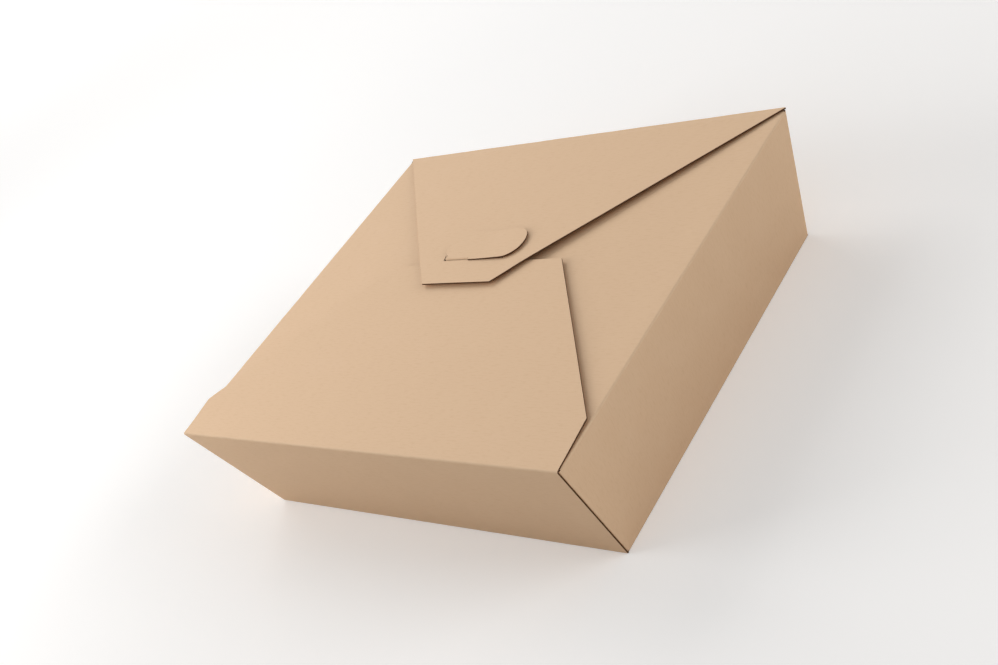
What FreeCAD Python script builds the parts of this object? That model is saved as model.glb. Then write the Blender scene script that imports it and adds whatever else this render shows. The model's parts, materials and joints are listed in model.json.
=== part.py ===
"""A shut food box of kraft board: one tapered tray with four top flaps, folded from a single sheet.

The side flaps lie lowest, the front flap covers them, and the back flap covers its tip. The front
flap's tongue rises through a slit in the back flap and lies on it. The origin is the middle of the
base's underside, X is the width, Y runs from the front wall to the back wall, and Z is up.
"""
import FreeCAD, Part
import os
from math import cos, radians, sin, sqrt, tan

from FreeCAD import Vector

# The board, in millimetres like every size here.
board = 0.5
fold_radius = 0.4  # inside radius of a creased fold
layer_gap = 0.2  # air between two flaps where they are closest
corner_round = 1.0  # rounding of a flap's outer corners

# The tray, measured over its outside.
base_width = 160.0
base_depth = 133.0
top_width = 175.0
top_depth = 150.0
side_height = 44.5  # from the base to the top of the folded side flaps

# The glue tabs, which turn from the side walls' ends to lie behind the front and back walls.
tab_width = 14.0
tab_end_gap = 1.5
tab_taper = 4.0

# The side flaps.
side_flap_reach = 65.0
side_flap_end_gap = 2.5  # from the tray's corner to the flap's end, along the fold
side_flap_taper = 9.0  # how much each end draws in towards the flap's tip

# The front flap.
front_flap_reach = 81.0
front_flap_lift = 1.27  # degrees, how far it stands open from level
front_shoulder = 18.0  # length of its straight ends beside the fold
front_tip_width = 78.0

# The back flap.
back_flap_lift = 2.63  # degrees
back_flap_overlap = 12.0  # from the front flap's tip to the back flap's tip, which covers it
back_tip_width = 33.0
hinge_clearance = 0.3  # air between the back wall's rounded top edge and the flap's root

# The lock: the front flap's tongue, and the back flap's slit with a nick at each end.
tongue_lead = 0.6  # from the front flap's tip to the tongue's first bend
tongue_climb = 60.0  # degrees, its slope where it climbs through the slit
tongue_reach = 14.0  # from its second bend to its back edge
tongue_width = 36.75
tongue_ear_radius = 7.0
neck_width = 30.0
slit_end_clearance = 0.3
slit_side_clearance = 0.15
nick_length = 3.0
nick_width = 0.4
nick_angle = 60.0  # degrees, between the nick and the slit

# Heights, slopes and places that follow from the sizes above.
fold_outer = fold_radius + board
fold_height = side_height + layer_gap + board  # top of the front and back folds
side_taper = (top_width - base_width) / 2
end_taper = (top_depth - base_depth) / 2
side_stretch = sqrt(1 + (side_taper / fold_height) ** 2)  # wall thickness, measured level
end_stretch = sqrt(1 + (end_taper / fold_height) ** 2)
tall = 2 * fold_height  # taller than anything in the box

right = Vector(1, 0, 0)
back = Vector(0, 1, 0)
up = Vector(0, 0, 1)


def half_width(z):
    """Half of the tray's outside width at height z."""
    return base_width / 2 + side_taper * z / fold_height


def half_depth(z):
    """Half of the tray's outside depth at height z."""
    return base_depth / 2 + end_taper * z / fold_height


def path_edges(points, radii):
    """Edges along an open path, with each inner corner rounded to its radius."""
    edges = []
    start = points[0]
    for before, corner, after, radius in zip(points, points[1:], points[2:], radii):
        back_way = (before - corner).normalize()
        onward = (after - corner).normalize()
        half_angle = back_way.getAngle(onward) / 2
        inward = (back_way + onward).normalize()
        first = corner + back_way * (radius / tan(half_angle))
        last = corner + onward * (radius / tan(half_angle))
        middle = corner + inward * (radius / sin(half_angle) - radius)
        edges.append(Part.LineSegment(start, first).toShape())
        edges.append(Part.Arc(first, middle, last).toShape())
        start = last
    edges.append(Part.LineSegment(start, points[-1]).toShape())
    return edges


def beside(points, distance, normal):
    """The path moved to its left, as seen with normal pointing at the eye."""
    ways = [(end - start).normalize() for start, end in zip(points, points[1:])]
    lefts = [normal.cross(way) for way in ways]
    moved = [points[0] + lefts[0] * distance]
    for corner, left, next_left in zip(points[1:], lefts, lefts[1:]):
        moved.append(corner + (left + next_left) * (distance / (1 + left.dot(next_left))))
    return moved + [points[-1] + lefts[-1] * distance]


def sheet(points, normal, half_length):
    """Folded board: points follow one face, the thickness lies to their left."""
    corners = zip(points, points[1:], points[2:])
    left_turns = [(b - a).cross(c - b).dot(normal) > 0 for a, b, c in corners]
    near = path_edges(points, [fold_outer if left else fold_radius for left in left_turns])
    far_points = beside(points, board, normal)
    far = path_edges(far_points, [fold_radius if left else fold_outer for left in left_turns])
    ends = [Part.LineSegment(points[n], far_points[n]).toShape() for n in (0, -1)]
    wire = Part.Wire(Part.__sortEdges__(near + far + ends))
    profile = Part.Face(wire).translated(normal * -half_length)
    return profile.extrude(normal * (2 * half_length))


def prism(points, way, start=0.0, length=tall):
    """A straight block on a polygon, from start to start + length along way."""
    face = Part.Face(Part.makePolygon(points + points[:1])).translated(way * start)
    return face.extrude(way * length)


def rounded_prism(points, radius):
    """An upright block on an outline whose corners, apart from its first and last, are rounded."""
    edges = path_edges(points, [radius] * (len(points) - 2))
    edges.append(Part.LineSegment(points[-1], points[0]).toShape())
    return Part.Face(Part.Wire(Part.__sortEdges__(edges))).extrude(up * tall)


def mirrored(points):
    """The points and their reflections in x = 0, as one path from right to left."""
    return points + [Vector(-p.x, p.y, p.z) for p in reversed(points)]


def between_sides():
    """All that lies between the side walls' outside faces, which stand upright above the folds."""
    outline = [
        Vector(half_width(-fold_height), -top_depth, -fold_height),
        Vector(half_width(fold_height), -top_depth, fold_height),
        Vector(half_width(fold_height), -top_depth, tall),
    ]
    return prism(mirrored(outline), back, 0, 2 * top_depth)


def between_ends(inset):
    """All that lies between the front and back walls' outside faces, moved in by inset."""
    low, high = half_depth(-fold_height) - inset, half_depth(fold_height) - inset
    outline = [
        Vector(-top_width, low, -fold_height),
        Vector(-top_width, high, fold_height),
        Vector(-top_width, high, tall),
    ]
    outline += [Vector(p.x, -p.y, p.z) for p in reversed(outline)]
    return prism(outline, right, 0, 2 * top_width)


def past_fold(before, fold, way):
    """A point on flat board, along way from the corner that a fold's outside faces would meet in."""
    half_angle = (before - fold).getAngle(way) / 2
    return fold + way * (fold_outer / tan(half_angle) + 2 * board)


def front_fold():
    """The corner that the front wall's and the front flap's outside faces would meet in."""
    return Vector(0, -top_depth / 2, fold_height)


def front_flap_way():
    """Direction of the front flap from its fold to its tip."""
    return Vector(0, cos(radians(front_flap_lift)), sin(radians(front_flap_lift)))


def front_flap_tip():
    """A point on the top face of the front flap, at its tip edge."""
    return front_fold() + front_flap_way() * front_flap_reach


def front_panel():
    """The front wall and the front flap, down to the bend into the base."""
    fold, wall_foot = front_fold(), Vector(0, -base_depth / 2, 0)
    base_start = past_fold(fold, wall_foot, back)
    board_panel = sheet([front_flap_tip(), fold, wall_foot, base_start], right, top_width)
    tip = front_flap_tip().y
    shoulder = front_shoulder - top_depth / 2
    outline = [
        Vector(top_width / 2, -top_depth, 0),
        Vector(top_width / 2, shoulder, 0),
        Vector(front_tip_width / 2, tip, 0),
    ]
    outline = rounded_prism(mirrored(outline), corner_round)
    return board_panel.common(outline).common(between_sides())


def back_wall_way():
    """Direction up the back wall's face."""
    return Vector(0, end_taper, fold_height).normalize()


def hinge_point():
    """A point on the back fold's axis, in the middle of the back wall's thickness."""
    way = back_wall_way()
    inward = right.cross(way)
    foot = Vector(0, base_depth / 2, 0) + inward * (board / 2)
    return foot + way * ((fold_height - board / 2 - foot.z) / way.z)


def back_panel():
    """The back wall with its rounded top edge, down to the bend into the base."""
    way = back_wall_way()
    wall_foot = Vector(0, base_depth / 2, 0)
    wall_top = hinge_point() - right.cross(way) * (board / 2)
    base_end = past_fold(wall_top, wall_foot, back * -1)
    board_panel = sheet([base_end, wall_foot, wall_top], right, top_width)
    edge_start = hinge_point() - right * top_width
    edge = Part.makeCylinder(board / 2, 2 * top_width, edge_start, right)
    return board_panel.fuse(edge).common(between_sides())


def side_panel():
    """The right wall and the right side flap, down to the bend into the base."""
    fold = Vector(half_width(side_height), 0, side_height)
    wall_foot = Vector(base_width / 2, 0, 0)
    flap_root = past_fold(wall_foot, fold, right * -1)
    base_end = past_fold(fold, wall_foot, right * -1)
    wall = sheet([flap_root, fold, wall_foot, base_end], back, top_depth)
    wall = wall.common(between_ends(board * end_stretch + fold_outer))
    fold_end = half_depth(side_height) - side_flap_end_gap
    outline = [
        Vector(flap_root.x, -fold_end, 0),
        Vector(flap_root.x, fold_end, 0),
        Vector(fold.x - side_flap_reach, fold_end - side_flap_taper, 0),
        Vector(fold.x - side_flap_reach, side_flap_taper - fold_end, 0),
    ]
    return wall.fuse(prism(outline, up, side_height - board, board))


def wall_block(side_inset, end_inset, bottom, top):
    """The room between the four walls' outside planes, moved in by the two insets."""
    rings = []
    for z in (bottom, top):
        x = half_width(z) - side_inset * side_stretch
        y = half_depth(z) - end_inset * end_stretch
        ring = [Vector(x, -y, z), Vector(x, y, z), Vector(-x, y, z), Vector(-x, -y, z)]
        rings.append(Part.makePolygon(ring + ring[:1]))
    return Part.makeLoft(rings, True, True)


def rounded_uprights(block, radius):
    """The block with its four corner edges rounded."""
    uprights = [e for e in block.Edges if abs(e.tangentAt(e.FirstParameter).z) > 0.5]
    return block.makeFillet(radius, uprights)


def corner_tabs():
    """The right wall's two corner folds and the glue tabs behind the front and back walls."""
    low, high = fold_outer, side_height - fold_outer
    outside = rounded_uprights(wall_block(0, board, low, high), fold_outer)
    inside = rounded_uprights(wall_block(board, 2 * board, low - board, high + board), fold_radius)
    tab_low = board + tab_end_gap
    outline = [
        Vector(half_width(low) - fold_outer * side_stretch, -top_depth, low),
        Vector(half_width(tab_low) - fold_outer * side_stretch, -top_depth, tab_low),
        Vector(half_width(tab_low) - tab_width, -top_depth, tab_low + tab_taper),
        Vector(half_width(high) - tab_width, -top_depth, high - tab_taper),
        Vector(half_width(high) - fold_outer * side_stretch, -top_depth, high),
        Vector(top_width, -top_depth, high),
        Vector(top_width, -top_depth, low),
    ]
    return outside.cut(inside).common(prism(outline, back, 0, 2 * top_depth))


def base_panel():
    """The flat base inside its four folds."""
    x = base_width / 2 - fold_outer
    y = base_depth / 2 - fold_outer
    return Part.makeBox(2 * x, 2 * y, board, Vector(-x, -y, 0))


def folded_box():
    """The sheet apart from its back flap and tongue."""
    right_side = side_panel().fuse(corner_tabs())
    left_side = right_side.mirror(Vector(), right)
    panels = [front_panel(), back_panel(), right_side, left_side]
    return base_panel().multiFuse(panels).removeSplitter()


def back_flap_way():
    """Direction of the back flap from its fold to its tip."""
    return Vector(0, -cos(radians(back_flap_lift)), sin(radians(back_flap_lift)))


def back_flap_root():
    """A point on the back flap's top face, beside its fold's axis."""
    return hinge_point() - right.cross(back_flap_way()) * (board / 2)


def back_flap_top(y):
    """Height of the back flap's top face where it crosses y."""
    root, way = back_flap_root(), back_flap_way()
    return root.z + (y - root.y) * way.z / way.y


def tongue_points():
    """The tongue's underside from the front flap's tip to the tongue's back edge."""
    way = front_flap_way()
    start = front_flap_tip() - right.cross(way) * board
    climb_start = start + way * tongue_lead
    climb = Vector(0, cos(radians(tongue_climb)), sin(radians(tongue_climb)))
    along = back_flap_way() * -1
    seat = back_flap_top(climb_start.y) + layer_gap
    rise = (seat - climb_start.z) / (climb.z - climb.y * along.z / along.y)
    climb_end = climb_start + climb * rise
    return [start, climb_start, climb_end, climb_end + along * tongue_reach]


def locking_tongue():
    """The tongue: a neck that climbs through the slit, and a head with two ears."""
    points = tongue_points()
    board_strip = sheet(points, right, tongue_width)
    neck, head = neck_width / 2, tongue_width / 2
    tip = points[-1].y
    ear_x = head - tongue_ear_radius
    ear_y = tip - tongue_ear_radius
    neck_end = ear_y - sqrt(tongue_ear_radius**2 - (neck - ear_x) ** 2)
    neck_bar = Part.makeBox(neck_width, neck_end - points[0].y + board, tall)
    neck_bar.translate(Vector(-neck, points[0].y - board, 0))
    ears = [
        Part.makeCylinder(tongue_ear_radius, tall, Vector(side * ear_x, ear_y, 0))
        for side in (-1, 1)
    ]
    span = Part.makeBox(2 * ear_x, 2 * tongue_ear_radius, tall)
    span.translate(Vector(-ear_x, tip - 2 * tongue_ear_radius, 0))
    outline = neck_bar.multiFuse(ears + [span])
    return board_strip.common(outline)


def slit():
    """The room cut through the back flap for the tongue's neck, with a nick at each end."""
    climb_start, climb_end = tongue_points()[1:3]
    run = (climb_end - climb_start).normalize()
    level_board = board / run.z
    top = back_flap_top(climb_start.y)
    front_edge = climb_start.y + (top - board - climb_start.z) * run.y / run.z - level_board
    rear_edge = climb_start.y + (top - climb_start.z) * run.y / run.z
    front_edge -= slit_side_clearance
    rear_edge += slit_side_clearance
    half_length = neck_width / 2 + slit_end_clearance
    room = Part.makeBox(2 * half_length, rear_edge - front_edge, tall)
    room.translate(Vector(-half_length, front_edge, 0))
    nick = Part.makeBox(nick_length, nick_width, tall)
    nick.rotate(Vector(), up, nick_angle)
    nick.translate(Vector(half_length - nick_width, front_edge, 0))
    return room.multiFuse([nick, nick.mirror(Vector(), right)])


def back_flap():
    """The back flap, hinged on the back wall's rounded top edge."""
    root, way = back_flap_root(), back_flap_way()
    tip = root + way * ((front_flap_tip().y - back_flap_overlap - root.y) / way.y)
    board_panel = sheet([root, tip], right, top_width)
    outline = [
        Vector(top_width / 2, top_depth, 0),
        Vector(top_width / 2, root.y, 0),
        Vector(back_tip_width / 2, tip.y, 0),
    ]
    socket_start = hinge_point() - right * top_width
    socket = Part.makeCylinder(board / 2 + hinge_clearance, 2 * top_width, socket_start, right)
    outline = rounded_prism(mirrored(outline), corner_round)
    return board_panel.common(outline).cut(socket).cut(slit())


os.makedirs("parts", exist_ok=True)
pieces = {"folded_box": folded_box(), "back_flap": back_flap(), "locking_tongue": locking_tongue()}
for name, shape in pieces.items():
    print(name, "solids:", len(shape.Solids), "volume in mm3:", round(shape.Volume))
    shape.exportStep("parts/" + name + ".step")
axis_point = hinge_point()
print("back fold axis", round(axis_point.y, 3), round(axis_point.z, 3))
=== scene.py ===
"""A shut food box of brown kraft board, folded from one sheet, and a plain pale stage.

Each panel is drawn as the middle of its board: rows of points that follow its profile round the
folds. The sheet then gets its thickness, its cut edges and its slit. Lengths are in metres.
"""
import json
import math

import bmesh
import bpy
from mathutils import Matrix, Vector, noise


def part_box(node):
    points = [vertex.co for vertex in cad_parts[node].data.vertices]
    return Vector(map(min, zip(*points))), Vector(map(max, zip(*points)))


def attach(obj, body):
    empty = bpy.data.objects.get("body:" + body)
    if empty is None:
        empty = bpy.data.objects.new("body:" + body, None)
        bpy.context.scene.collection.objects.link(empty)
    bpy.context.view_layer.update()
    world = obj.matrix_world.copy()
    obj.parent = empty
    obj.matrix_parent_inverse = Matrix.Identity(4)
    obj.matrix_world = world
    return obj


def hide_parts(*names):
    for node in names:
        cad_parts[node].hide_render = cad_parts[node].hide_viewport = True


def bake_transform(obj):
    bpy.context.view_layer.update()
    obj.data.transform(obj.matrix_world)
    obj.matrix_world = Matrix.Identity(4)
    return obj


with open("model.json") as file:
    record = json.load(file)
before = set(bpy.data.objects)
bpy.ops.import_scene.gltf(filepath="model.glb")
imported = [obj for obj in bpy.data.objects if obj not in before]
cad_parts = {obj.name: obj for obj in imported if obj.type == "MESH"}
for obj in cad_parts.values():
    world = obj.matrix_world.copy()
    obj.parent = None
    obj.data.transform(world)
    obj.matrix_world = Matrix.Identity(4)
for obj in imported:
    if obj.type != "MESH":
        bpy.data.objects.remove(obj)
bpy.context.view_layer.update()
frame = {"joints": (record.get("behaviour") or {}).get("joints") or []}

bl_info = {
    "name": "Kraft Food Box",
    "version": (1, 0, 0),
    "blender": (4, 5, 0),
    "location": "View3D > Sidebar > Food Box",
    "description": "Folds a take-away food box from one sheet of kraft board",
    "category": "Add Mesh",
}

MM = 0.001
TRAY_LOW, TRAY_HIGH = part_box("folded_box")
BACK_FOLD = next(joint for joint in frame["joints"] if joint["name"] == "back_fold")

# Bends of a panel's path, counted from the base. Only the front's has the tongue's two.
FOOT_BEND, FOLD_BEND, CLIMB_BEND, SEAT_BEND = 0, 1, 3, 4
# Runs of a path. The back's has no raised band beside its fold, so its flap comes sooner.
WALL_RUN, BACK_FLAP_RUN, FRONT_FLAP_RUN, CLIMB_RUN, TONGUE_RUN = 2, 4, 6, 8, 10

SAME_PLACE = 1e-8  # metres between places that count as one
WELD = 0.002 * MM  # between points that are joined into one
ON_LINE = 0.01 * MM  # from a line to the points that count as on it
LEAST_GAP = 0.02 * MM  # between two rows
BEND_GUARD = 0.15 * MM  # from a bend to the row that keeps the flat board flat
BEND_STEP = math.radians(10)  # from one row of a bend to the next
BAND_EASE = 5  # radius of the raised band's end, in widths of the band
CUT_ANGLE = math.radians(50)  # least angle across a cut edge
CREASE_ANGLE = math.radians(30)  # least angle that isn't shaded smooth

# The paleness along each fold is partly stretched fibre and partly a painted highlight, standing in
# for the light that a fold's rounding catches.
FOLD_PALING_AND_HIGHLIGHT = 0.2  # share of the paler fibres' colour that a fold takes on
FOLD_HIGHLIGHT_REACH = 0.3 * MM  # from a fold's middle to where its paleness fades
WANDER_REACH = 1.2 * MM  # the same for its straying
FLAP_EASE = 10 * MM  # from a fold to where its flap is as uneven as it gets
CURL_EASE = 20 * MM  # from a fold, or the tongue's middle, to where a curl is whole
SLOW_COCKLE, QUICK_COCKLE = 55 * MM, 21 * MM  # lengths of the board's waves
SLOW_STRAY, QUICK_STRAY = 13 * MM, 4 * MM  # lengths of a fold's waves
COCKLE_QUICKNESS, STRAY_QUICKNESS = 0.35, 0.6  # height of the quick waves for 1 of the slow
STRAY_RISE = 0.7  # how far a fold strays up for 1 out
# Where each panel starts in the noise; the side panels start 1 to each side of theirs.
FRONT_SEED, SIDE_SEED, BACK_SEED = 11.0, 23.0, 37.0

FRONT_COLUMNS = 24, 14, 42  # to the left of the tongue's neck, over it and to its right
SIDE_COLUMNS, TAB_COLUMNS, CORNER_STEPS = 68, 6, 9
EAR_STEPS, HOOK_STEPS, HOOK_COLUMNS = 15, 9, 20
SLIT_COLUMNS, END_COLUMNS = 40, 18  # over the slit, and from each of its ends outwards
HOOK_RELIEF = 0.03 * MM  # the cut that frees the hook from the neck

KNIFE_HEIGHT = 10 * MM
KNIFE_MIDDLE = 48 * MM  # its height above the floor
NICK_OFFSET = 0.3 * MM  # from the slit's end to a nick's outer corner

FLOOR_CORNERS = ((-6, -6, 0), (6, -6, 0), (6, 6, 0), (-6, 6, 0))
FLOOR_NEAR, FLOOR_FAR = 300 * MM, 4000 * MM  # where the floor starts to pale, and is white
LAMP_AIM = Vector((0, 0, 30 * MM))
# Each lamp's name, place and size, and the setting that holds its power.
LAMPS = (
    ("key_lamp", (-1.95, 0.90, 1.80), 1.8, "key_power"),
    ("near_lamp", (-0.40, -0.25, 0.28), 0.3, "near_power"),
    ("fill_lamp", (2.60, 0.90, 0.80), 1.6, "fill_power"),
)


def linear(hex_colour):
    """The linear colour of an sRGB hex value."""
    parts = [int(hex_colour[n : n + 2], 16) / 255 for n in (1, 3, 5)]
    return tuple(c / 12.92 if c <= 0.04045 else ((c + 0.055) / 1.055) ** 2.4 for c in parts)


def amount(name, description, default, **kind):
    """A number that a user can change."""
    return bpy.props.FloatProperty(name=name, description=description, default=default, **kind)


def length(name, description, default):
    """A size that a user can change."""
    return amount(name, description, default, unit="LENGTH", precision=5)


def slope(name, description, degrees):
    """An angle that a user can change."""
    return amount(name, description, math.radians(degrees), subtype="ANGLE")


def triple(name, description, default, **kind):
    """Three numbers that a user can change."""
    return bpy.props.FloatVectorProperty(
        name=name, description=description, default=default, **kind
    )


def colour(name, description, hex_colour):
    """A colour that a user can change."""
    return triple(name, description, linear(hex_colour), subtype="COLOR")


class BoardSettings(bpy.types.PropertyGroup):
    """The board itself."""

    thickness: length("Thickness", "Thickness of the board", 0.5 * MM)
    fold_radius: length("Fold radius", "Inside radius of a creased fold", 0.06 * MM)
    edge_crush: length("Edge crush", "How far the cutting die rounds a cut edge", 0.06 * MM)
    spring_reach: length("Spring reach", "Width of the raised band beside a fold", 1.6 * MM)
    spring_angle: slope("Spring angle", "How much steeper that band stands than its flap", 3.0)
    cockle: length("Cockle", "Height of the board's slow unevenness", 0.06 * MM)
    fold_wander: length("Fold wander", "How far a fold strays from a straight line", 0.07 * MM)
    wall_bulge: length("Wall bulge", "How far a wall bows out at its middle", 0.25 * MM)
    row_spacing: length("Row spacing", "From one row of the mesh to the next", 2.5 * MM)


class TraySettings(bpy.types.PropertyGroup):
    """The tray's outside sizes and its glue tabs."""

    base_width: length("Base width", "Width of the base", 160.0 * MM)
    base_depth: length("Base depth", "Depth of the base", 133.0 * MM)
    top_width: length("Top width", "Width across the folds", TRAY_HIGH.x - TRAY_LOW.x)
    top_depth: length("Top depth", "Depth across the folds", 150.0 * MM)
    side_height: length("Side height", "Height of the folded side flaps", 44.5 * MM)
    fold_height: length("Fold height", "Height of the front and back folds", 45.2 * MM)
    tab_width: length("Tab width", "Width of a glue tab", 14.0 * MM)
    tab_gap: length("Tab gap", "From a glue tab's foot to the base", 1.5 * MM)
    tab_taper: length("Tab taper", "How much a glue tab narrows at each end", 4.0 * MM)
    glue: length("Glue", "From a glue tab to the wall in front of it", 0.03 * MM)
    back_inset: length("Back inset", "From the side to the back wall's cut edge", 0.9 * MM)


class FlapSettings(bpy.types.PropertyGroup):
    """The four top flaps."""

    side_reach: length("Side reach", "Reach of a side flap from its fold", 65.0 * MM)
    side_end_gap: length("Side end gap", "From the corner to a side flap's end", 1.4 * MM)
    side_taper: length("Side taper", "How much a side flap narrows at each end", 9.0 * MM)
    side_bow: length("Side bow", "How far its free edge stands up at its middle", 1.2 * MM)
    front_reach: length("Front reach", "Reach of the front flap from its fold", 81.0 * MM)
    left_shoulder: length("Left shoulder", "Length of its straight left end", 15.4 * MM)
    right_shoulder: length("Right shoulder", "Length of its straight right end", 18.0 * MM)
    shoulder_inset: length("Shoulder inset", "How much narrower than the fold", 0.6 * MM)
    front_tip: length("Front tip", "Width of the front flap's tip", 77.6 * MM)
    front_lift: slope("Front lift", "How far the front flap stands open", 1.27)
    left_curl: length("Left curl", "How far its left shoulder curls up", 1.1 * MM)
    right_curl: length("Right curl", "How far its right shoulder curls up", 0.4 * MM)
    back_overlap: length("Back overlap", "Between the front and back flaps' tips", 11.2 * MM)
    back_tip: length("Back tip", "Width of the back flap's tip", 31.8 * MM)
    back_press: length("Back press", "How far its tip is pressed down", 0.4 * MM)
    back_corner: length("Back corner", "How far its left corner stands in from the side", 0.7 * MM)
    back_lift: slope("Back lift", "How far the back flap stands open", 2.63)


class LockSettings(bpy.types.PropertyGroup):
    """The front flap's tongue and the back flap's slit."""

    lead: length("Lead", "From the front flap's tip to the tongue's first bend", 0.5 * MM)
    climb: slope("Climb", "Slope of the tongue where it climbs through the slit", 80.0)
    bend: length("Bend", "Radius of the tongue's two bends at the middle of the board", 0.31 * MM)
    reach: length("Reach", "From the tongue's second bend to its back edge", 13.9 * MM)
    left_half: length("Left half", "From the box's middle to the head's left side", 16.8 * MM)
    right_half: length("Right half", "From the box's middle to the head's right side", 19.3 * MM)
    left_ear: length("Left ear", "Radius of the head's left ear", 6.7 * MM)
    right_ear: length("Right ear", "Radius of the head's right ear", 8.2 * MM)
    hook: length("Hook", "Radius of the right ear's front corner", 6.2 * MM)
    overhang: length("Overhang", "From the second bend to the hook's front edge", 1.2 * MM)
    neck_left: length("Neck left", "From the box's middle to the neck's left side", 12.9 * MM)
    neck_right: length("Neck right", "From the box's middle to the neck's right side", -1.7 * MM)
    seat_gap: length("Seat gap", "Air between the tongue and the back flap", 0.16 * MM)
    ear_curl: length("Ear curl", "How far the right ear stands up", 0.4 * MM)
    ear_press: length("Ear press", "How far the left ear is pressed down", 0.12 * MM)
    end_clearance: length("End clearance", "From the neck to the slit's end", 0.7 * MM)
    side_clearance: length("Side clearance", "From the neck to the slit's side", 0.15 * MM)
    nick: length("Nick", "Length of the nick at each end of the slit", 2.9 * MM)
    nick_width: length("Nick width", "Width of a nick", 0.3 * MM)
    nick_angle: slope("Nick angle", "Angle between a nick and the slit", 70.0)


class FinishSettings(bpy.types.PropertyGroup):
    """The board's colours."""

    face: colour("Face", "The board's face", "#d9b896")
    dark_fibre: colour("Dark fibre", "Its darker fibres", "#c6a07b")
    # The paler fibres' colour, which the folds also take on as a painted highlight.
    pale_fibre_and_fold_highlight: colour("Pale fibre", "Its paler fibres", "#e6caab")
    # The cut edge's two colours are partly the cut board's own and partly painted shade, darkened
    # to stand in for the shadow in the gaps under the flaps' edges.
    cut: colour("Cut edge", "The board where it is cut", "#472d1a")
    cut_core_and_shade: colour("Cut core", "The middle layers of a cut edge", "#5a3d28")


class StageSettings(bpy.types.PropertyGroup):
    """The floor, the lamps and the camera."""

    floor: colour("Floor", "The floor as it lights the box", "#dedcda")
    floor_seen: colour("Floor seen", "The floor as it is seen", "#fbfaf9")
    floor_glow: amount("Floor glow", "Light added to the floor where it is only seen", 0.16)
    key_power: amount("Key power", "Power of the key lamp in watts", 36.1)
    near_power: amount("Near power", "Power of the small near lamp in watts", 1.16)
    fill_power: amount("Fill power", "Power of the fill lamp in watts", 23.4)
    sky: amount("Sky", "Strength of the even light from all round", 0.424)
    lens: amount("Lens", "Focal length in millimetres", 46.474)
    eye: triple(
        "Eye", "Place of the camera", (0.30557, -0.22102, 0.24102),
        subtype="TRANSLATION", unit="LENGTH",
    )
    turn: triple(
        "Turn", "Rotation of the camera", (0.95369, 0.51777, 0.61124), subtype="EULER"
    )


class FoodBoxSettings(bpy.types.PropertyGroup):
    """Every setting of the food box."""

    board: bpy.props.PointerProperty(type=BoardSettings)
    tray: bpy.props.PointerProperty(type=TraySettings)
    flaps: bpy.props.PointerProperty(type=FlapSettings)
    lock: bpy.props.PointerProperty(type=LockSettings)
    finish: bpy.props.PointerProperty(type=FinishSettings)
    stage: bpy.props.PointerProperty(type=StageSettings)


def put(name, data):
    """Puts a new object of this data in the scene."""
    made = bpy.data.objects.new(name, data)
    bpy.context.scene.collection.objects.link(made)
    return made


def smooth(share):
    """A share from 0 to 1 that starts and ends gently."""
    share = min(max(share, 0.0), 1.0)
    return share * share * (3 - 2 * share)


def between(stops, at):
    """The value at a place between stops, which are (place, value) in order."""
    for (low, first), (high, last) in zip(stops, stops[1:]):
        if at <= high:
            return first + (last - first) * max(at - low, 0.0) / (high - low)
    return stops[-1][1]


def beside(points, distance):
    """The path moved to its left by a distance."""
    ways = [(end - start).normalized() for start, end in zip(points, points[1:])]
    lefts = [Vector((-way.y, way.x)) for way in ways]
    moved = [points[0] + lefts[0] * distance]
    for corner, left, next_left in zip(points[1:], lefts, lefts[1:]):
        moved.append(corner + (left + next_left) * (distance / (1 + left.dot(next_left))))
    return moved + [points[-1] + lefts[-1] * distance]


class BoardPath:
    """The middle of the board in a profile plane: straight runs joined by round bends.

    A point of the plane is (out, up): how far out from the box's middle, and its height.
    """

    def __init__(self, corners, radii):
        self.runs = []  # each is its start, length, first point, heading and curl
        self.bends = []
        self.length = 0.0
        spent = 0.0
        for n, (corner, after) in enumerate(zip(corners, corners[1:])):
            way = (after - corner).normalized()
            heading = math.atan2(way.y, way.x)
            taken = 0.0
            if n < len(radii):
                onward = (corners[n + 2] - after).normalized()
                turn = math.atan2(way.x * onward.y - way.y * onward.x, way.dot(onward))
                taken = radii[n] * math.tan(abs(turn) / 2)
            straight = (after - corner).length - spent - taken
            self.add(straight, corner + way * spent, heading, 0.0)
            if n < len(radii):
                self.bends.append((self.length, self.length + radii[n] * abs(turn)))
                curl = math.copysign(1 / radii[n], turn)
                self.add(radii[n] * abs(turn), after - way * taken, heading, curl)
            spent = taken

    def add(self, run, first, heading, curl):
        """Puts another run on the end of the path."""
        self.runs.append((self.length, run, first, heading, curl))
        self.length += run

    def at(self, along):
        """The point that lies so far along the path."""
        for start, run, first, heading, curl in self.runs:
            if along <= start + run:
                break
        step = along - start
        if not curl:
            return first + Vector((math.cos(heading), math.sin(heading))) * step
        turned = heading + curl * step
        sweep_out = math.sin(turned) - math.sin(heading)
        sweep_up = math.cos(heading) - math.cos(turned)
        return first + Vector((sweep_out, sweep_up)) / curl

    def reaching(self, out, run):
        """How far along the path it comes so far out, on one of its straight runs."""
        start, _, first, heading, _ = self.runs[run]
        return start + (out - first.x) / math.cos(heading)

    def rising(self, up, run):
        """How far along the path it comes to a height, on one of its straight runs."""
        start, _, first, heading, _ = self.runs[run]
        return start + (up - first.y) / math.sin(heading)

    def places(self, spacing, wanted):
        """Places for rows of points: the bends in even steps, the runs at a spacing."""
        fixed = {self.length, *wanted}
        for bend_start, bend_end in self.bends:
            fixed |= {bend_start - BEND_GUARD, bend_end + BEND_GUARD}
        for start, run, _, _, curl in self.runs:
            steps = math.ceil(run * abs(curl) / BEND_STEP) if curl else 1
            fixed |= {start + run * n / steps for n in range(steps)}
        made = [0.0]
        for place in sorted(fixed):
            start, gap = made[-1], place - made[-1]
            steps = math.ceil(gap / spacing - 0.01) if gap > LEAST_GAP else 0
            made += [start + gap * (n + 1) / steps for n in range(steps)]
        return made


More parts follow.
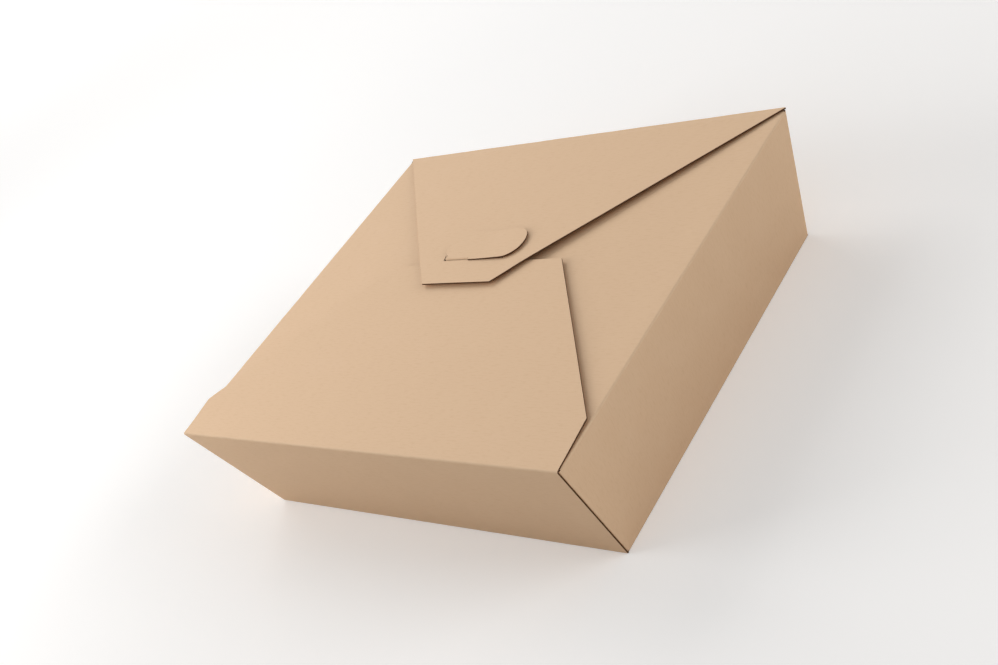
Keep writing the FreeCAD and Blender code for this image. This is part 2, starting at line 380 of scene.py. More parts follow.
def in_range(places, low, high):
    """The places from low to high."""
    return [place for place in places if low - SAME_PLACE <= place <= high + SAME_PLACE]


def spread(first, *splits):
    """Places from a first one on; splits are (place, number of steps up to it)."""
    made = [first]
    for place, count in splits:
        low = made[-1]
        made += [low + (place - low) * (n + 1) / count for n in range(count)]
    return made


class Board:
    """A sheet being laid out, as the middle of its thickness, with its place on the flat blank."""

    def __init__(self):
        self.mesh = bmesh.new()
        self.blank = self.mesh.verts.layers.float_vector.new("blank_place")
        # How near each point lies to a fold: the board's material paints a highlight there, as well
        # as the paler stretched fibre.
        self.fold = self.mesh.verts.layers.float.new("fold_nearness")

    def lay(self, rows, skipped=()):
        """Board between neighbouring rows of (point, place on the blank, nearness to a fold)."""
        made = []
        for row in rows:
            made.append([])
            for point, place, nearness in row:
                vert = self.mesh.verts.new(point)
                vert[self.blank] = (place[0], place[1], 0.0)
                vert[self.fold] = nearness
                made[-1].append(vert)
        for n, (row, after) in enumerate(zip(made, made[1:])):
            for m in range(len(row) - 1):
                if (n, m) not in skipped:
                    self.mesh.faces.new((row[m], row[m + 1], after[m + 1], after[m]))

    def sheet(self, name):
        """The laid board as an object."""
        bmesh.ops.remove_doubles(self.mesh, verts=self.mesh.verts, dist=WELD)
        loose = [vert for vert in self.mesh.verts if not vert.link_faces]
        bmesh.ops.delete(self.mesh, geom=loose, context="VERTS")
        bmesh.ops.recalc_face_normals(self.mesh, faces=self.mesh.faces)
        mesh = bpy.data.meshes.new(name)
        self.mesh.to_mesh(mesh)
        self.mesh.free()
        return put(name, mesh)


def work_in(sheet):
    """Works the sheet's modifiers into its mesh."""
    evaluated = sheet.evaluated_get(bpy.context.evaluated_depsgraph_get())
    mesh = bpy.data.meshes.new_from_object(evaluated)
    sheet.modifiers.clear()
    sheet.data = mesh


def thicken(sheet, box):
    """Gives the sheet its thickness, half to each side, and its cut edges their own finish."""
    sheet.data.materials.append(made_of("kraft_board_rolled", kraft_board, box.finish))
    # The cut edges' material carries painted shade as well as the cut board's own colour.
    sheet.data.materials.append(made_of("kraft_board_die_cut", cut_kraft_board_and_painted_shade, box.finish))
    solid = sheet.modifiers.new("Thickness", "SOLIDIFY")
    solid.thickness = box.board.thickness
    solid.offset = 0.0
    solid.use_even_offset = True
    solid.use_quality_normals = True
    solid.material_offset_rim = 1
    work_in(sheet)


def crush_edges(sheet, box):
    """Rounds the cut edges a little, apart from the base's back edge, and smooths the folds."""
    mesh = bmesh.new()
    mesh.from_mesh(sheet.data)
    bmesh.ops.recalc_face_normals(mesh, faces=mesh.faces)
    base_back = box.tray.base_depth / 2 - base_margin(box)
    sharp = []
    for edge in mesh.edges:
        goes_on = all(
            abs(vert.co.y - base_back) < ON_LINE and vert.co.z < 2 * box.board.thickness
            for vert in edge.verts
        )
        if edge.is_manifold and edge.calc_face_angle() > CUT_ANGLE and not goes_on:
            sharp.append(edge)
    bmesh.ops.bevel(
        mesh, geom=sharp, offset=box.board.edge_crush, segments=1, profile=0.5,
        affect="EDGES", clamp_overlap=True, material=1,
    )
    mesh.to_mesh(sheet.data)
    mesh.free()
    sheet.data.shade_smooth()
    sheet.data.set_sharp_from_angle(angle=CREASE_ANGLE)


def half_width(up, tray):
    """Half of the tray's outside width at a height."""
    return (tray.base_width + (tray.top_width - tray.base_width) * up / tray.fold_height) / 2


def half_depth(up, tray):
    """Half of the tray's outside depth at a height."""
    return (tray.base_depth + (tray.top_depth - tray.base_depth) * up / tray.fold_height) / 2


def base_margin(box):
    """How far in from a wall's foot the flat of the base begins."""
    return box.board.fold_radius + box.board.thickness


def middle_radius(box):
    """Radius of a fold at the middle of the board."""
    return box.board.fold_radius + box.board.thickness / 2


def panel_middle(box, foot, fold, tip):
    """Corners at the middle of a panel's board, with the steeper band that its fold leaves."""
    board = box.board
    wall_way, flap_way = (fold - foot).normalized(), (tip - fold).normalized()
    drop = board.spring_reach * math.tan(board.spring_angle)
    start = foot - Vector((base_margin(box), 0))
    low_fold, band_end = fold - wall_way * drop, fold + flap_way * board.spring_reach
    return beside([start, foot, low_fold, band_end, tip], board.thickness / 2)


def panel_radii(box):
    """Radii of a panel's foot, its fold and the end of the steeper band."""
    return [middle_radius(box), middle_radius(box), BAND_EASE * box.board.spring_reach]


def cockled(x, y, box):
    """Height of the board's slow unevenness at a place."""
    slow = noise.noise(Vector((x / SLOW_COCKLE, y / SLOW_COCKLE, 0.0)))
    quick = noise.noise(Vector((x / QUICK_COCKLE, y / QUICK_COCKLE, 7.0)))
    return box.board.cockle * (slow + COCKLE_QUICKNESS * quick)


def wandering(across, seed, box):
    """How far a fold strays at a place along it."""
    slow = noise.noise(Vector((across / SLOW_STRAY, seed, 0.0)))
    quick = noise.noise(Vector((across / QUICK_STRAY, seed, 3.0)))
    return box.board.fold_wander * (slow + STRAY_QUICKNESS * quick)


def nearness(along, bend, reach):
    """1 at a bend's middle, fading out at a reach to each side."""
    return math.exp(-(((along - sum(bend) / 2) / reach) ** 2))


def panel_rows(box, path, places, columns, place, seed, curl):
    """Rows of a panel's board. columns(along) gives its columns there, as (across, share)."""
    board = box.board
    foot, fold = path.bends[FOOT_BEND], path.bends[FOLD_BEND]
    out_start = path.at(0).x
    rows = []
    for along in places:
        # Nearness to the foot and top folds, where the material paints the board paler: stretched
        # fibre and a painted highlight.
        near = max(nearness(along, bend, FOLD_HIGHLIGHT_REACH) for bend in (foot, fold))
        fold_near = nearness(along, fold, WANDER_REACH)
        risen = min(max((along - foot[1]) / (fold[0] - foot[1]), 0), 1)
        on_wall = math.sin(math.pi * risen)
        on_flap = smooth((along - fold[1]) / FLAP_EASE)
        row = []
        for across, share in columns(along):
            out, up = path.at(along)
            held = max(1 - share**8, 0.0)
            slack = cockled(across, up * 2 + seed, box)
            out += on_wall * (board.wall_bulge * max(1 - share**2, 0) ** 2 + slack * held)
            stray = wandering(across, seed, box) * fold_near * held
            out, up = out + stray, up + stray * STRAY_RISE
            x, y, _ = place(out, across, 0)
            up += on_flap * cockled(x, y, box) + curl(along, across)
            row.append((place(out, across, up), place(out_start + along, across, 0), near))
        rows.append(row)
    return rows


def wall_edge(path, half):
    """How a panel's edge runs up its wall, as (along, half width) stops."""
    start, run, *_ = path.runs[WALL_RUN]
    stops = [(at, half(path.at(at).y)) for at in (start, start + run)]
    return [(0.0, half(0.0))] + stops


def hinge():
    """The back fold's axis in the profile plane."""
    return Vector(BACK_FOLD["pos_m"][1:])


def back_flap_top(y, box):
    """Height of the back flap's top face at y."""
    lift = box.flaps.back_lift
    root = hinge() + Vector((math.sin(lift), math.cos(lift))) * (box.board.thickness / 2)
    return root.y + (root.x - y) * math.tan(lift)


def front_path(box):
    """The front panel's middle, from the base round to the tongue's back edge."""
    tray, flaps, lock, thick = box.tray, box.flaps, box.lock, box.board.thickness
    foot = Vector((tray.base_depth / 2, 0))
    fold = Vector((tray.top_depth / 2, tray.fold_height))
    way = Vector((-math.cos(flaps.front_lift), math.sin(flaps.front_lift)))
    tip = fold + way * flaps.front_reach
    middle = panel_middle(box, foot, fold, tip)
    climb = Vector((-math.cos(lock.climb), math.sin(lock.climb)))
    along = Vector((-math.cos(flaps.back_lift), -math.sin(flaps.back_lift)))
    under = tip - Vector((way.y, -way.x)) * thick
    climb_start = under + way * lock.lead
    seat = back_flap_top(-climb_start.x, box) + lock.seat_gap
    rise = (seat - climb_start.y) / (climb.y - climb.x * along.y / along.x)
    climb_end = climb_start + climb * rise
    tongue = beside([under, climb_start, climb_end, climb_end + along * lock.reach], -thick / 2)
    radii = panel_radii(box) + [lock.bend] * 2
    return BoardPath(middle[:-1] + tongue[1:], radii), middle[-1].x


def lay_front(sheet, box):
    """Lays the front wall, the front flap and its tongue."""
    tray, flaps, lock = box.tray, box.flaps, box.lock
    path, tip_out = front_path(box)
    tip = path.reaching(tip_out, FRONT_FLAP_RUN)
    wall = wall_edge(path, lambda up: half_width(up, tray))
    flap_sides = []
    for run in (flaps.left_shoulder, flaps.right_shoulder):
        shoulder = path.reaching(tray.top_depth / 2 - run, FRONT_FLAP_RUN)
        narrowed = tray.top_width / 2 - flaps.shoulder_inset
        flap_sides.append(wall + [(shoulder, narrowed), (tip, flaps.front_tip / 2)])
    strip_share = 1 - 2 * base_margin(box) / tray.base_width
    neck_ends = [-2 * lock.neck_left / flaps.front_tip, 2 * lock.neck_right / flaps.front_tip]
    front_shares = zip([*neck_ends, strip_share], FRONT_COLUMNS)
    across_shares = spread(-1.0, (-strip_share, 1), *front_shares, (1.0, 1))
    head_start, head_end = path.bends[SEAT_BEND][1], path.length
    hook_middle = head_start - lock.overhang + lock.hook
    hook_turn = math.asin((hook_middle - head_start) / lock.hook)

    def hook_edge(turn):
        """The hook's rounded front corner, turned so far from its side."""
        along = hook_middle - lock.hook * math.sin(turn)
        return along, lock.right_half - lock.hook * (1 - math.cos(turn))

    def ear_edge(half, ear, first_turn):
        """An ear's rounded corner, from a first turn to the head's back edge."""
        return [
            (head_end - ear * (1 - math.sin(turn)), half - ear * (1 - math.cos(turn)))
            for turn in spread(first_turn, (math.pi / 2, EAR_STEPS))
        ]

    left_turn = -math.acos(1 - (lock.left_half - lock.neck_left) / lock.left_ear)
    head_sides = [
        ear_edge(lock.left_half, lock.left_ear, left_turn),
        [hook_edge(turn) for turn in spread(hook_turn, (0.0, HOOK_STEPS))]
        + ear_edge(lock.right_half, lock.right_ear, 0.0),
    ]
    climb_start = path.bends[CLIMB_BEND][0]

    def curl(along, across):
        """The flap's shoulders curl up, and so does the tongue's right ear."""
        height = flaps.left_curl if across < 0 else flaps.right_curl
        lift = height * abs(2 * across / tray.top_width) ** 3
        lift *= smooth((along - path.bends[FOLD_BEND][1]) / CURL_EASE)
        tilt = smooth(across / CURL_EASE) * (lock.ear_curl + lock.ear_press) - lock.ear_press
        return lift + tilt * smooth((along - climb_start) / (head_start - climb_start))

    def flap_columns(along):
        left, right = (between(side, along) for side in flap_sides)
        return [(share * (left if share < 0 else right), share) for share in across_shares]

    neck_shares = in_range(across_shares, *neck_ends)

    def neck_columns(along):
        return [(share * flaps.front_tip / 2, share) for share in neck_shares]

    def hook_columns(inner, outer):
        return [(across, 0.0) for across in spread(inner, (outer, HOOK_COLUMNS))[1:]]

    def head_columns(along):
        left, right = (between(side, along) for side in head_sides)
        lefts = spread(-left, (lock.neck_right, len(neck_shares) - 1))
        return [(across, 0.0) for across in lefts] + hook_columns(lock.neck_right, right)

    def place(out, across, up):
        return Vector((across, -out, up))

    stops = [at for side in flap_sides + head_sides for at, _ in side]
    places = path.places(box.board.row_spacing, stops)
    parts = (
        (flap_columns, 0, tip),
        (neck_columns, tip, head_start),
        (head_columns, head_start, head_end),
    )
    for columns, low, high in parts:
        held = in_range(places, low, high)
        sheet.lay(panel_rows(box, path, held, columns, place, FRONT_SEED, curl))

    # The hook: the head's front edge, which lies over the slit to the right of the neck.
    _, _, head_first, heading, _ = path.runs[TONGUE_RUN]
    head_way = Vector((math.cos(heading), math.sin(heading)))
    hook = []
    for turn in spread(hook_turn, (math.pi / 2, HOOK_STEPS)):
        along, outer = hook_edge(turn)
        out, up = head_first - head_way * (head_start - along)
        inner = lock.neck_right + (HOOK_RELIEF if hook else 0.0)
        hook.append([])
        for across, _ in [(inner, 0.0)] + hook_columns(inner, outer):
            x, y, _ = place(out, across, 0)
            height = up + cockled(x, y, box) + curl(head_start, across)
            span = path.at(0).x + along
            hook[-1].append((place(out, across, height), place(span, across, 0), 0.0))
    sheet.lay(hook)
    return [share * tray.base_width / 2 for share in across_shares[1:-1]]


def lay_side(sheet, box, side):
    """Lays the wall, glue tabs and flap of one side: 1 is the right, -1 the left."""
    tray, flaps, board = box.tray, box.flaps, box.board
    foot = Vector((tray.base_width / 2, 0))
    fold = Vector((half_width(tray.side_height, tray), tray.side_height))
    tip = fold - Vector((flaps.side_reach, 0))
    path = BoardPath(panel_middle(box, foot, fold, tip), panel_radii(box))
    radius = middle_radius(box)
    end_slope = (tray.top_depth - tray.base_depth) / 2 / tray.fold_height
    # The middle of a tab lies a board and a half inside the front or back wall's outer face.
    tab_inset = (1.5 * board.thickness + tray.glue) * math.hypot(1, end_slope)
    side_slope = (tray.top_width - tray.base_width) / 2 / tray.fold_height
    side_inset = board.thickness / 2 * math.hypot(1, side_slope)
    wall_start = path.bends[FOOT_BEND][1]
    wall_end, flap_start = path.bends[FOLD_BEND]
    tab_low, tab_high = board.thickness + tray.tab_gap, path.at(wall_end).y
    tab_start = path.rising(tab_low, WALL_RUN)

    def reach(up):
        """Half of the wall's length at a height, up to where its ends turn in."""
        return half_depth(up, tray) - tab_inset - radius

    base_end = tray.base_depth / 2 - base_margin(box)
    root = half_depth(tray.side_height, tray) - flaps.side_end_gap
    flap_share = root / reach(tab_high)
    across_shares = spread(-1.0, (-flap_share, 1), (flap_share, SIDE_COLUMNS), (1.0, 1))
    flap_edge = [(wall_end, root), (flap_start, root), (path.length, root - flaps.side_taper)]

    def foot_columns(along):
        half = reach(path.at(along).y) if along > 0 else reach(0)
        made = [(share * half, share) for share in across_shares]
        return [(-base_end, -1.0)] + made + [(base_end, 1.0)]

    def wall_columns(along):
        half = reach(path.at(along).y)
        return [(share * half, share) for share in across_shares]

    def flap_columns(along):
        half = between(flap_edge, along) / flap_share
        return [(share * half, share) for share in across_shares[1:-1]]

    def curl(along, across):
        """The flap's free edge bows up towards its middle."""
        bow = flaps.side_bow * (1 - (2 * across / tray.top_depth) ** 2)
        return bow * smooth((along - flap_start) / flaps.side_reach)

    def place(out, across, up):
        return Vector((side * out, across, up))

    places = path.places(board.row_spacing, [tab_start])
    parts = (
        (foot_columns, 0, wall_start),
        (wall_columns, wall_start, wall_end),
        (flap_columns, wall_end, path.length),
    )
    for columns, low, high in parts:
        held = in_range(places, low, high)
        sheet.lay(panel_rows(box, path, held, columns, place, SIDE_SEED + side, curl))

    out_start = path.at(0).x
    rim_up = tray.side_height - tray.glue
    wall_ups = [path.at(along).y for along in in_range(places, wall_start, wall_end)]
    turns = spread(0.0, (math.pi / 2, CORNER_STEPS))
    tab_steps = spread(0.0, (tray.tab_width - side_inset - radius, TAB_COLUMNS))

    def wall_point(end, up, turn, step=0.0):
        """A point of the wall's end: turned so far round its corner fold, then so far on."""
        middle = half_width(up, tray) - side_inset - radius
        out = middle + radius * math.cos(turn) - step
        across = end * (reach(up) + radius * math.sin(turn))
        span = out_start + up + radius * turn + step
        # The third value is how near the corner's fold lies, where the material paints the pale
        # fold highlight.
        return place(out, across, up), place(span, across, 0), math.cos(turn) ** 2

    for end in (1, -1):
        sheet.lay([[wall_point(end, up, turn) for turn in turns] for up in wall_ups + [rim_up]])
        rim = []
        for up in (tab_high, rim_up):
            inner, outer = flap_share * reach(tab_high), reach(up)
            out = half_width(up, tray) - side_inset
            rim.append([
                (place(out, end * across, up), place(out_start + up, end * across, 0), 0.0)
                for across in (inner, outer)
            ])
        sheet.lay(rim)
        tab = []
        for up in in_range(wall_ups, tab_low, tab_high):
            lean = tray.tab_taper * (1 - 2 * (up - tab_low) / (tab_high - tab_low))
            lean /= tab_steps[-1]
            tab.append([wall_point(end, up + lean * n, math.pi / 2, n) for n in tab_steps])
        sheet.lay(tab)
    return [-base_end] + [share * reach(0) for share in across_shares] + [base_end]


def lay_base(sheet, box, xs, ys):
    """Lays the base between its four folds."""
    up = box.board.thickness / 2
    sheet.lay([[(Vector((x, y, up)), (x, y), 0.0) for x in xs] for y in ys])


def back_path(box):
    """The back panel's middle, from the base round to the back flap's tip."""
    tray, flaps, board = box.tray, box.flaps, box.board
    foot = Vector((tray.base_depth / 2, 0))
    top = Vector((tray.top_depth / 2, tray.fold_height))
    start = foot - Vector((base_margin(box), 0))
    start, foot, _ = beside([start, foot, top], board.thickness / 2)
    front_tip = flaps.front_reach * math.cos(flaps.front_lift) - tray.top_depth / 2
    tip_y = front_tip - flaps.back_overlap
    fold = hinge()
    tip = Vector((tip_y, fold.y + (fold.x - tip_y) * math.tan(flaps.back_lift)))
    return BoardPath([start, foot, fold, tip], [middle_radius(box)] * 2)


def slit_sides(box):
    """The slit's front and back sides, as y."""
    path, _ = front_path(box)
    lock, thick = box.lock, box.board.thickness
    _, _, first, _, _ = path.runs[CLIMB_RUN]
    lift = math.tan(box.flaps.back_lift)
    flap_up = back_flap_top(-first.x, box) - thick / 2
    climbed = (flap_up - first.y) / (math.tan(lock.climb) + lift)
    middle = -first.x + climbed
    half = thick * (1 / math.sin(lock.climb) + 1 / math.tan(lock.climb)) / 2 + lock.side_clearance
    return middle - half, middle + half


def lay_back(sheet, box):
    """Lays the back wall and the back flap with its slit; returns its fold's start and end."""
    tray, flaps, lock = box.tray, box.flaps, box.lock
    path = back_path(box)
    front_side, back_side = slit_sides(box)
    slit_start = path.reaching(back_side, BACK_FLAP_RUN)
    slit_end = path.reaching(front_side, BACK_FLAP_RUN)
    wall_end, flap_start = path.bends[FOLD_BEND]
    edge = wall_edge(path, lambda up: half_width(up, tray) - tray.back_inset)
    edge += [(flap_start, tray.top_width / 2), (path.length, flaps.back_tip / 2)]
    left_insets = [(0.0, 0.0), (wall_end, 0.0), (flap_start, flaps.back_corner), (path.length, 0.0)]
    slit_half = lock.neck_left + lock.end_clearance
    slit_shares = [(at, slit_half / between(edge, at)) for at in (slit_start, slit_end)]
    # Steps from -0.5 to 0.5 are over the slit, and the others to each side of it.
    steps = spread(-1.0, (-0.5, END_COLUMNS), (0.5, SLIT_COLUMNS), (1.0, END_COLUMNS))

    def columns(along):
        half = between(edge, along)
        inner = between(slit_shares, along)
        made = []
        for step in steps:
            share = min(abs(step) * 2, 1) * inner + max(abs(step) * 2 - 1, 0) * (1 - inner)
            share = math.copysign(share, step)
            inset = between(left_insets, along) if share < 0 else 0.0
            made.append((share * (half - inset), share))
        return made

    def curl(along, across):
        """The flap is pressed down in front of the slit."""
        return -flaps.back_press * smooth((along - slit_end) / (path.length - slit_end))

    def place(out, across, up):
        return Vector((across, out, up))

    places = path.places(box.board.row_spacing, [slit_start, slit_end])
    rows = panel_rows(box, path, places, columns, place, BACK_SEED, curl)
    hole_row = min(range(len(places)), key=lambda n: abs(places[n] - slit_start))
    hole = {(hole_row, END_COLUMNS + n) for n in range(SLIT_COLUMNS)}
    sheet.lay(rows, hole)
    return [path.at(along) for along in path.bends[FOLD_BEND]]


def cut_nicks(sheet, box):
    """Cuts the nick at each end of the slit."""
    lock = box.lock
    front_side, _ = slit_sides(box)
    knife = bmesh.new()
    for side in (1, -1):
        made = bmesh.ops.create_cube(knife, size=1.0)["verts"]
        stretch = Matrix.Diagonal((lock.nick, lock.nick_width, KNIFE_HEIGHT, 1))
        move = Matrix.Translation((lock.nick / 2, lock.nick_width / 2, 0))
        turn = Matrix.Rotation(lock.nick_angle, 4, "Z")
        slit_end = lock.neck_left + lock.end_clearance
        corner = Vector((slit_end + NICK_OFFSET, front_side, KNIFE_MIDDLE))
        mirror = Matrix.Diagonal((side, 1, 1, 1))
        matrix = mirror @ Matrix.Translation(corner) @ turn @ move @ stretch
        bmesh.ops.transform(knife, matrix=matrix, verts=made)
    bmesh.ops.recalc_face_normals(knife, faces=knife.faces)
    mesh = bpy.data.meshes.new("nick_knife")
    knife.to_mesh(mesh)
    knife.free()
    mesh.materials.append(made_of("kraft_board_die_cut", cut_kraft_board_and_painted_shade, box.finish))
    blade = put("nick_knife", mesh)
    cut = sheet.modifiers.new("Nicks", "BOOLEAN")
    cut.object = blade
    cut.operation = "DIFFERENCE"
    cut.solver = "EXACT"
    cut.material_mode = "TRANSFER"
    work_in(sheet)
    bpy.data.objects.remove(blade)


def add_node(tree, kind, inputs=None, **settings):
    """Adds a shader node with its settings; an input is a value or the socket that feeds it."""
    node = tree.nodes.new("ShaderNode" + kind)
    for name, value in settings.items():
        setattr(node, name, value)
    for name, value in (inputs or {}).items():
        if isinstance(value, bpy.types.NodeSocket):
            tree.links.new(value, node.inputs[name])
        else:
            node.inputs[name].default_value = value
    return node


def made_of(name, draw, settings):
    """The material of a name. The first time, draw(tree, settings) makes its surface."""
    if name in bpy.data.materials:
        return bpy.data.materials[name]
    material = bpy.data.materials.new(name)
    material.use_nodes = True
    tree = material.node_tree
    tree.nodes.clear()
    add_node(tree, "OutputMaterial", {"Surface": draw(tree, settings)})
    return material


def rgba(shade):
    """A colour setting with its alpha."""
    return (*shade, 1.0)


def kraft_board(tree, finish):
    """Unbleached kraft board: brown wood fibre, pressed between rollers and left uncoated.

    The eye gets a matte brown sheet, slightly cloudy where the fibre lies thicker, with short
    fibres along the way it ran through the machine. Folding stretches the fibres and pales them,
    and the paler band along each fold is also a painted highlight for the light a fold catches.
    """
    blank = add_node(tree, "Attribute", attribute_name="blank_place")
    near = add_node(tree, "Attribute", attribute_name="fold_nearness")
    # Fibres 3 mm long and 0.05 mm wide, drawn 0.5 mm wide so that they show.
    fibre_place = add_node(
        tree, "Mapping",
        {"Vector": blank.outputs["Vector"], "Scale": (1 / (3.03 * MM), 1 / (0.5 * MM), 1)},
    )
    fibres = add_node(
        tree, "TexNoise",
        {"Vector": fibre_place.outputs["Vector"], "Scale": 1.0, "Detail": 3.0, "Roughness": 0.55},
    )
    # Clouds of thicker fibre, 12.5 mm across.
    clouds = add_node(
        tree, "TexNoise",
        {
            "Vector": blank.outputs["Vector"], "Scale": 1 / (12.5 * MM),
            "Detail": 2.0, "Roughness": 0.5,
        },
    )
    darker = add_node(
        tree, "MapRange",
        {"Value": fibres.outputs["Fac"], "From Min": 0.5, "From Max": 0.25, "To Max": 0.28},
    )
    paler = add_node(
        tree, "MapRange",
        {"Value": clouds.outputs["Fac"], "From Min": 0.42, "From Max": 0.75, "To Max": 0.14},
    )
    # Paler along the folds: partly stretched fibre, partly a painted highlight for the light a fold
    # catches.
    stretched_and_highlit = add_node(
        tree, "Math", {0: near.outputs["Fac"], 1: FOLD_PALING_AND_HIGHLIGHT, 2: paler.outputs["Result"]},
        operation="MULTIPLY_ADD",
    )
    with_dark = add_node(
        tree, "Mix",
        {0: darker.outputs["Result"], 6: rgba(finish.face), 7: rgba(finish.dark_fibre)},
        data_type="RGBA",
    )
    with_pale = add_node(
        tree, "Mix",
        {0: stretched_and_highlit.outputs[0], 6: with_dark.outputs[2], 7: rgba(finish.pale_fibre_and_fold_highlight)},
        data_type="RGBA",
    )
    # The rollers leave the fibres standing about 0.01 mm proud.
    relief = add_node(
        tree, "Bump",
        {"Height": fibres.outputs["Fac"], "Strength": 0.35, "Distance": 0.03 * MM},
    )
    rough = add_node(
        tree, "MapRange",
        {
            "Value": clouds.outputs["Fac"], "From Min": 0.3, "From Max": 0.7,
            "To Min": 0.7, "To Max": 0.82,
        },
    )
    shader = add_node(
        tree, "BsdfPrincipled",
        {
            "Base Color": with_pale.outputs[2], "Roughness": rough.outputs["Result"],
            "Normal": relief.outputs["Normal"], "IOR": 1.45, "Specular IOR Level": 0.3,
        },
    )
    return shader.outputs["BSDF"]


def cut_kraft_board_and_painted_shade(tree, finish):
    """The same board where the die has cut it: open fibre ends in pressed layers.

    The ends drink in the light, so a cut edge looks darker than the face beside it. Its colours
    are darker still as painted shade, standing in for the shadow in the thin gaps under the flaps.
    """
    place = add_node(tree, "TexCoord")
    # Layers and torn fibre ends, 0.25 mm apart.
    ends = add_node(
        tree, "TexNoise",
        {
            "Vector": place.outputs["Object"], "Scale": 1 / (0.25 * MM),
            "Detail": 2.0, "Roughness": 0.6,
        },
    )
    core = add_node(
        tree, "MapRange",
        {"Value": ends.outputs["Fac"], "From Min": 0.4, "From Max": 0.65},
    )
    mixed = add_node(
        tree, "Mix",
        {0: core.outputs["Result"], 6: rgba(finish.cut), 7: rgba(finish.cut_core_and_shade)},
        data_type="RGBA",
    )
    relief = add_node(
        tree, "Bump",
        {"Height": ends.outputs["Fac"], "Strength": 0.5, "Distance": 0.05 * MM},
    )
    shader = add_node(
        tree, "BsdfPrincipled",
        {
            "Base Color": mixed.outputs[2], "Roughness": 0.9, "Normal": relief.outputs["Normal"],
            "IOR": 1.45, "Specular IOR Level": 0.2,
        },
    )
    return shader.outputs["BSDF"]


def seen_share(tree):
    """1 where the camera looks, straight or by a reflection, and 0 where light is gathered."""
    rays = add_node(tree, "LightPath").outputs
    share = rays["Is Camera Ray"]
    for kind in ("Is Glossy Ray", "Is Transmission Ray"):
        either = add_node(tree, "Math", {0: share, 1: rays[kind]}, operation="MAXIMUM")
        share = either.outputs[0]
    return share


def matte_paint(tree, stage):
    """A matt painted studio floor: chalky, without gloss, shown paler than it lights the box.

    Farther off, the eye finds it paler still, where it runs into the surround.
    """
    seen = seen_share(tree)
    mixed = add_node(
        tree, "Mix",
        {0: seen, 6: rgba(stage.floor), 7: rgba(stage.floor_seen)}, data_type="RGBA",
    )
    chalk = add_node(tree, "BsdfDiffuse", {"Color": mixed.outputs[2], "Roughness": 1.0})
    place = add_node(tree, "TexCoord")
    far = add_node(tree, "VectorMath", {0: place.outputs["Object"]}, operation="LENGTH")
    paleness = add_node(
        tree, "MapRange",
        {
            "Value": far.outputs["Value"], "From Min": FLOOR_NEAR, "From Max": FLOOR_FAR,
            "To Min": stage.floor_glow, "To Max": 1.0,
        },
    )
    shown = add_node(tree, "Math", {0: seen, 1: paleness.outputs["Result"]}, operation="MULTIPLY")
    glow = add_node(
        tree, "Emission",
        {"Color": rgba(stage.floor_seen), "Strength": shown.outputs[0]},
    )
    both = add_node(tree, "AddShader", {0: chalk.outputs["BSDF"], 1: glow.outputs["Emission"]})
    return both.outputs["Shader"]


def light_sky(stage):
    """An even pale surround, shown white where the floor runs into it."""
    world = bpy.data.worlds.new("studio")
    bpy.context.scene.world = world
    world.use_nodes = True
    tree = world.node_tree
    tree.nodes.clear()
    even = add_node(tree, "Background", {"Color": (1, 1, 1, 1), "Strength": stage.sky})
    shown = add_node(tree, "Background", {"Color": (1, 1, 1, 1), "Strength": 1.0})
    either = add_node(
        tree, "MixShader",
        {0: seen_share(tree), 1: even.outputs[0], 2: shown.outputs[0]},
    )
    add_node(tree, "OutputWorld", {"Surface": either.outputs[0]})


def hang_lamp(name, place, size, power):
    """Hangs a square soft lamp that faces the box."""
    light = bpy.data.lights.new(name, "AREA")
    light.shape = "SQUARE"
    light.size = size
    light.energy = power
    lamp = put(name, light)
    lamp.location = place
    lamp.rotation_euler = (LAMP_AIM - Vector(place)).to_track_quat("-Z", "Y").to_euler()


class FOODBOX_OT_fold_tray(bpy.types.Operator):
    """Folds the tray, its side flaps, its front flap and the tongue"""

    bl_idname = "food_box.fold_tray"
    bl_label = "Fold Tray"
    bl_options = {"REGISTER", "UNDO"}

    def execute(self, context):
        box = context.scene.food_box
        board = Board()
        xs = lay_front(board, box)
        ys = lay_side(board, box, 1)
        lay_side(board, box, -1)
        lay_base(board, box, xs, ys)
        tray = board.sheet("tray_sheet")
        thicken(tray, box)
        crush_edges(tray, box)
        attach(tray, "box")
        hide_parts("folded_box", "locking_tongue")
        return {"FINISHED"}


class FOODBOX_OT_fold_back(bpy.types.Operator):
    """Folds the back wall and the back flap with its slit"""

    bl_idname = "food_box.fold_back"
    bl_label = "Fold Back"
    bl_options = {"REGISTER", "UNDO"}

    def execute(self, context):
        box = context.scene.food_box
        board = Board()
        fold_start, fold_end = lay_back(board, box)
        back = board.sheet("back_sheet")
        thicken(back, box)
        cut_nicks(back, box)
        crush_edges(back, box)
        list(fold_start)
        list(fold_end)
        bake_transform(back)
        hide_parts("back_flap")
        return {"FINISHED"}


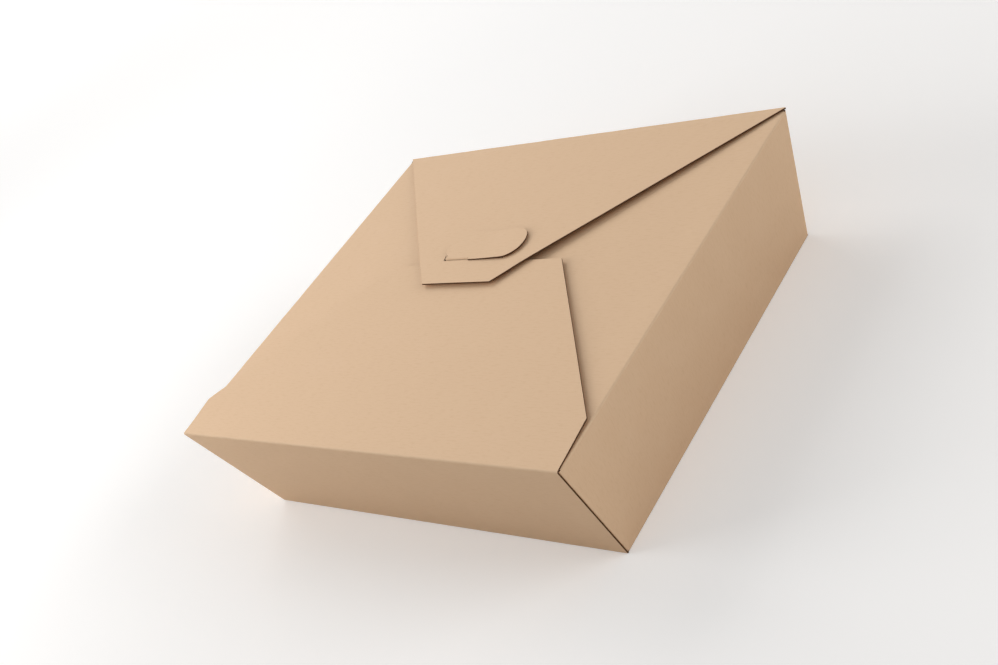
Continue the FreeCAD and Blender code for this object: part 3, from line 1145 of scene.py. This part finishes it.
class FOODBOX_OT_set_stage(bpy.types.Operator):
    """Sets the floor, the lamps and the camera"""

    bl_idname = "food_box.set_stage"
    bl_label = "Set Stage"
    bl_options = {"REGISTER", "UNDO"}

    def execute(self, context):
        stage = context.scene.food_box.stage
        mesh = bpy.data.meshes.new("floor")
        mesh.from_pydata(FLOOR_CORNERS, [], [(0, 1, 2, 3)])
        mesh.materials.append(made_of("floor_matt_paint", matte_paint, stage))
        put("floor", mesh)
        light_sky(stage)
        for name, place, size, power in LAMPS:
            hang_lamp(name, place, size, getattr(stage, power))
        view = bpy.data.cameras.new("camera")
        view.lens = stage.lens
        camera = put("camera", view)
        camera.location = stage.eye
        camera.rotation_euler = stage.turn
        context.scene.camera = camera
        context.scene.view_settings.view_transform = "Standard"
        return {"FINISHED"}


class FOODBOX_PT_panel(bpy.types.Panel):
    """Lists the food box's pieces and settings."""

    bl_label = "Food Box"
    bl_idname = "FOODBOX_PT_panel"
    bl_space_type = "VIEW_3D"
    bl_region_type = "UI"
    bl_category = "Food Box"

    def draw(self, context):
        box = context.scene.food_box
        for operator in (FOODBOX_OT_fold_tray, FOODBOX_OT_fold_back, FOODBOX_OT_set_stage):
            self.layout.operator(operator.bl_idname)
        for group in (box.board, box.tray, box.flaps, box.lock, box.finish, box.stage):
            part = self.layout.box()
            for name in group.__annotations__:
                part.prop(group, name)


CLASSES = (
    BoardSettings,
    TraySettings,
    FlapSettings,
    LockSettings,
    FinishSettings,
    StageSettings,
    FoodBoxSettings,
    FOODBOX_OT_fold_tray,
    FOODBOX_OT_fold_back,
    FOODBOX_OT_set_stage,
    FOODBOX_PT_panel,
)


def register():
    """Registers the settings, the operators and the panel."""
    for made in CLASSES:
        bpy.utils.register_class(made)
    bpy.types.Scene.food_box = bpy.props.PointerProperty(type=FoodBoxSettings)


def unregister():
    """Takes them away again."""
    del bpy.types.Scene.food_box
    for made in reversed(CLASSES):
        bpy.utils.unregister_class(made)


def main():
    """Makes the pieces and the stage."""
    register()
    bpy.ops.food_box.fold_tray()
    bpy.ops.food_box.fold_back()
    bpy.ops.food_box.set_stage()


if __name__ == "__main__":
    main()
